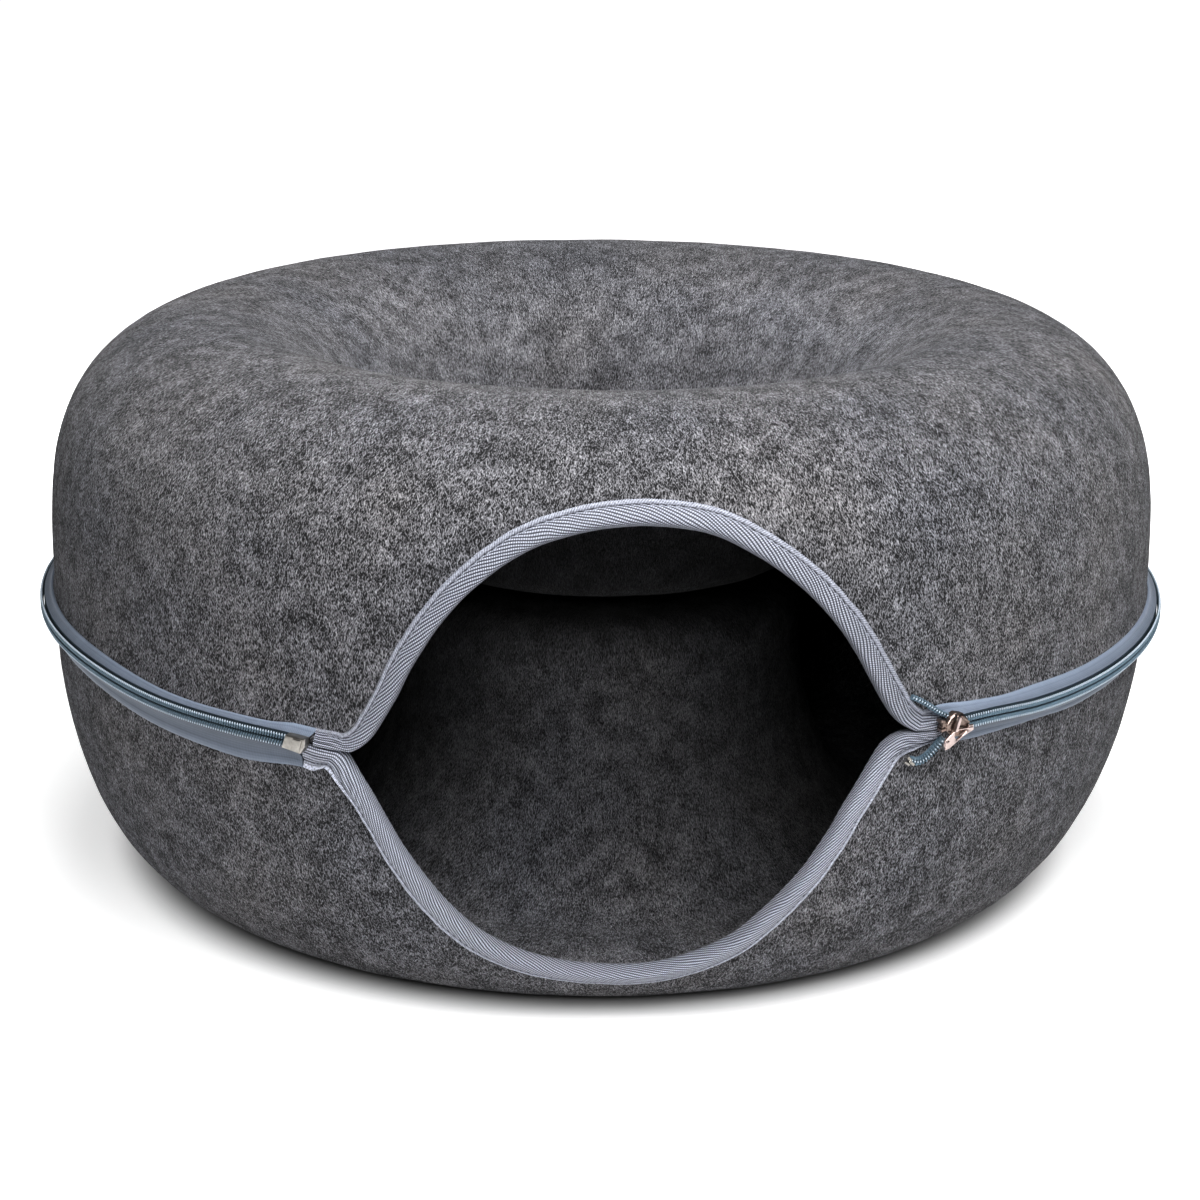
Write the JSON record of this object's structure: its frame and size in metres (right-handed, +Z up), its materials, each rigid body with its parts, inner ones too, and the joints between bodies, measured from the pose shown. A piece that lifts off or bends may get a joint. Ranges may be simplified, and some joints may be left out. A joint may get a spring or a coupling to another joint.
{
  "type": "cat tunnel bed",
  "caption": "Ring-shaped felt cat tunnel bed of a zipped upper and lower half, with a bound mouth in its side and a nest in its top.",
  "frame": {"origin": "middle of the bed's outline box, on the floor that it stands on", "axes": "+Z up, -Y towards the side that the mouth is in, +X to the right of someone who looks into the mouth"},
  "size_m": [0.6, 0.5808, 0.285],
  "materials": {
    "felt": "pressed felt, dark grey mixed fibres, matt",
    "binding": "blue-grey twill tape, slight sheen",
    "zip_tape": "blue-grey woven zip tape, satin",
    "zip_coil": "blue-grey nylon coil with pale stitches",
    "metal": "polished nickel plate"
  },
  "bodies": {
    "root": {"upper_shell": "felt", "lower_shell": "felt", "binding_upper": "binding", "binding_lower": "binding", "zip_tape_upper": "zip_tape", "zip_tape_lower": "zip_tape", "zip_chain": "zip_coil", "zip_end_upper": "zip_coil", "zip_end_lower": "zip_coil", "zip_stop_box": "metal", "zip_stop_clip": "metal", "zip_slider": "metal", "zip_pull": "metal"}
  },
  "joints": []
}
